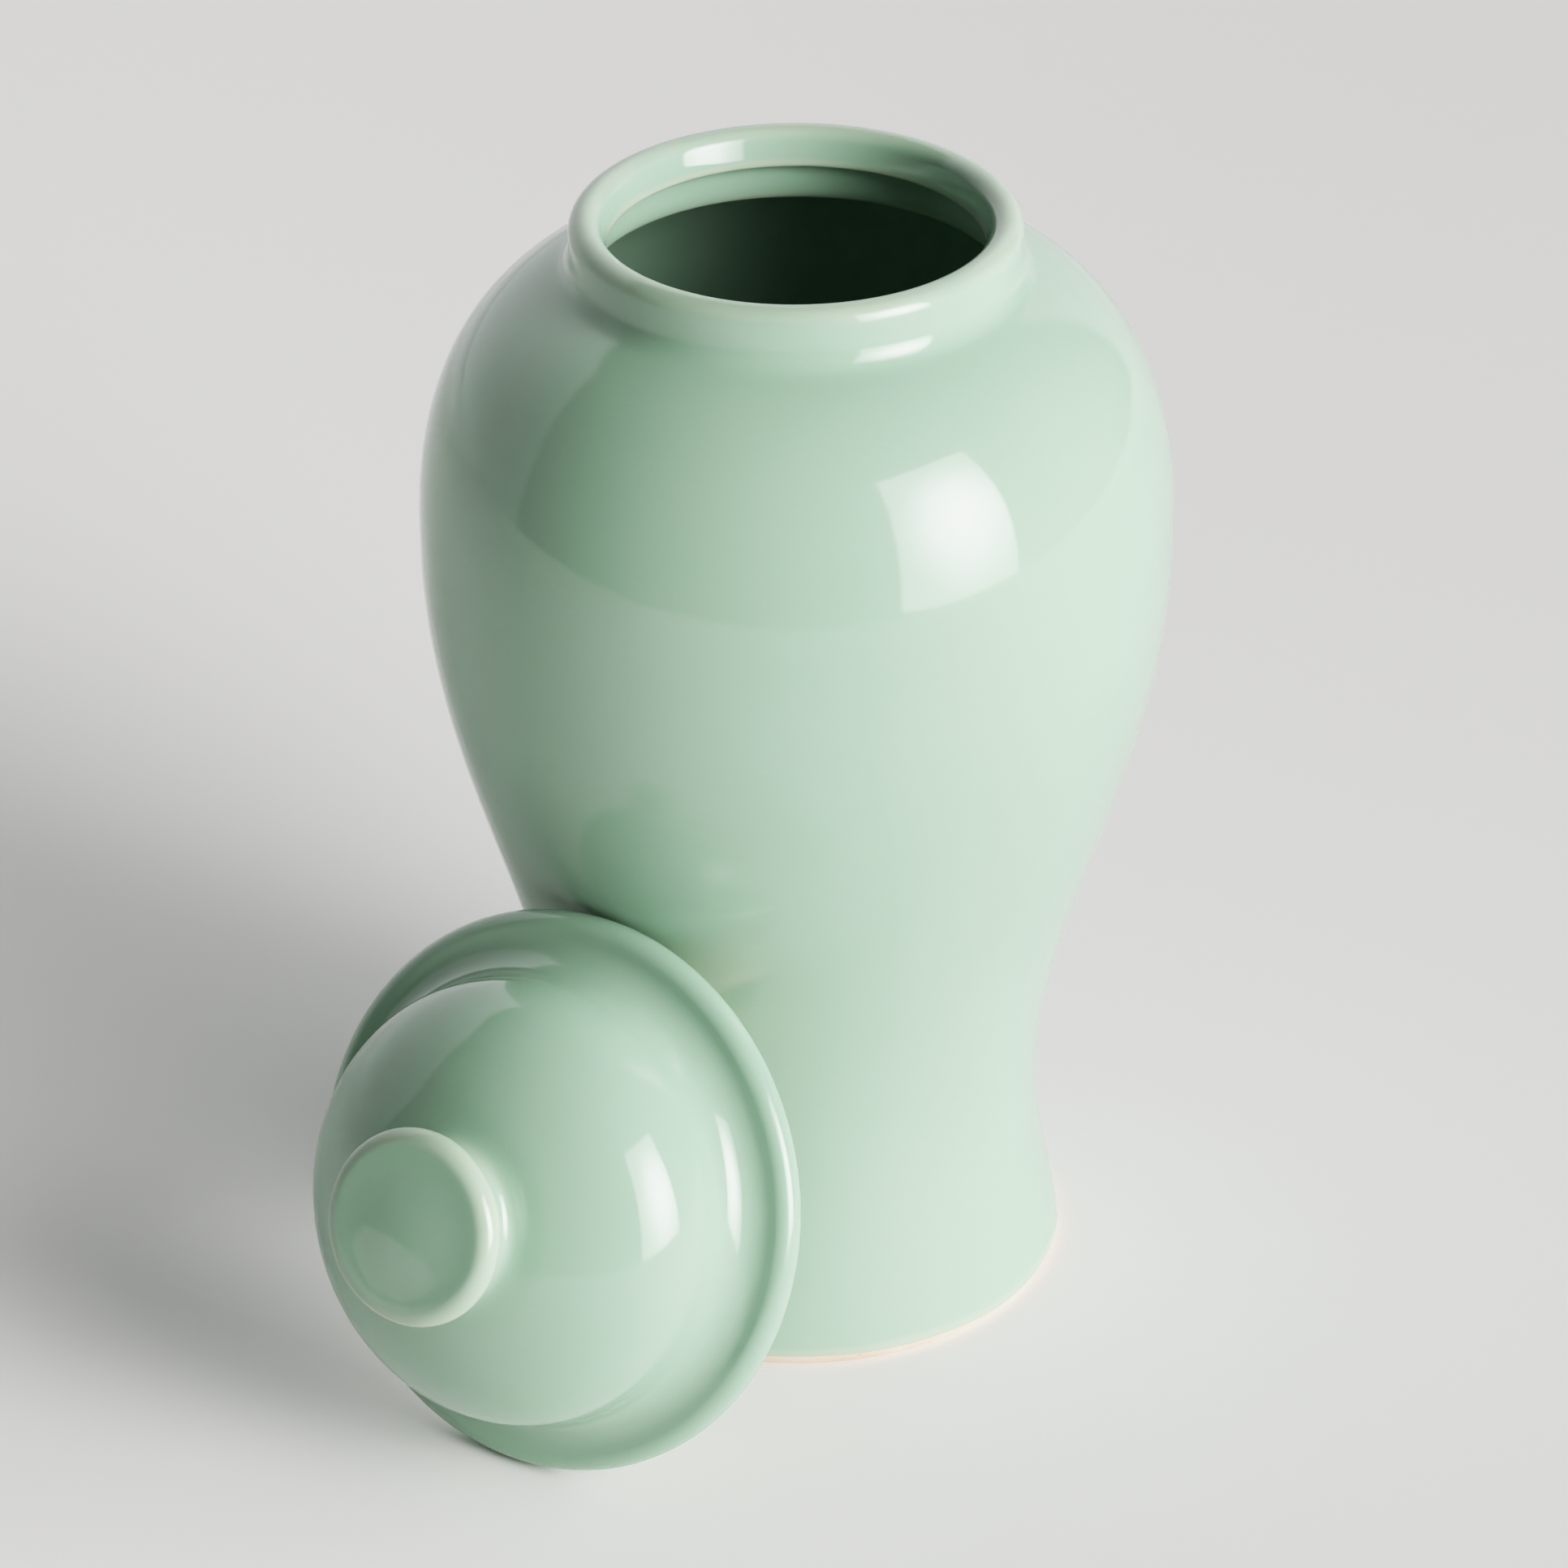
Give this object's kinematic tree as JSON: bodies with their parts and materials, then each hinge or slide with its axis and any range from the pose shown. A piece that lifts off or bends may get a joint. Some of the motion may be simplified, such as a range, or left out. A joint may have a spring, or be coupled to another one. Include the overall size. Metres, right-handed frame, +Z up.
{
  "type": "lidded temple jar",
  "caption": "Lidded baluster jar in green-glazed stoneware: collared open mouth, narrow waist, flared foot on a bare clay ring, and a domed lid with a button knob leaning on its flank.",
  "frame": {"origin": "on the jar's axis, in the plane that the foot ring rests on", "axes": "+Z up along the jar's axis, -Y towards the viewer's front, the lid leans on the jar's front left, 124.2 degrees round from +X towards -Y"},
  "size_m": [0.1714, 0.1974, 0.2336],
  "materials": {
    "celadon_glaze": "glossy translucent pale green celadon glaze",
    "bare_clay": "unglazed fine buff stoneware, matte"
  },
  "bodies": {
    "jar": {"jar_body": "celadon_glaze", "jar_foot_ring": "bare_clay"},
    "lid": {"lid_shell": "celadon_glaze", "lid_knob": "celadon_glaze", "lid_locating_ring": "bare_clay"}
  },
  "joints": [
    {"name": "lid_lift", "type": "slide", "parent": "jar", "child": "lid", "axis": [-0.5285, -0.7777, 0.3404], "range_m": [0, 0.14]}
  ]
}
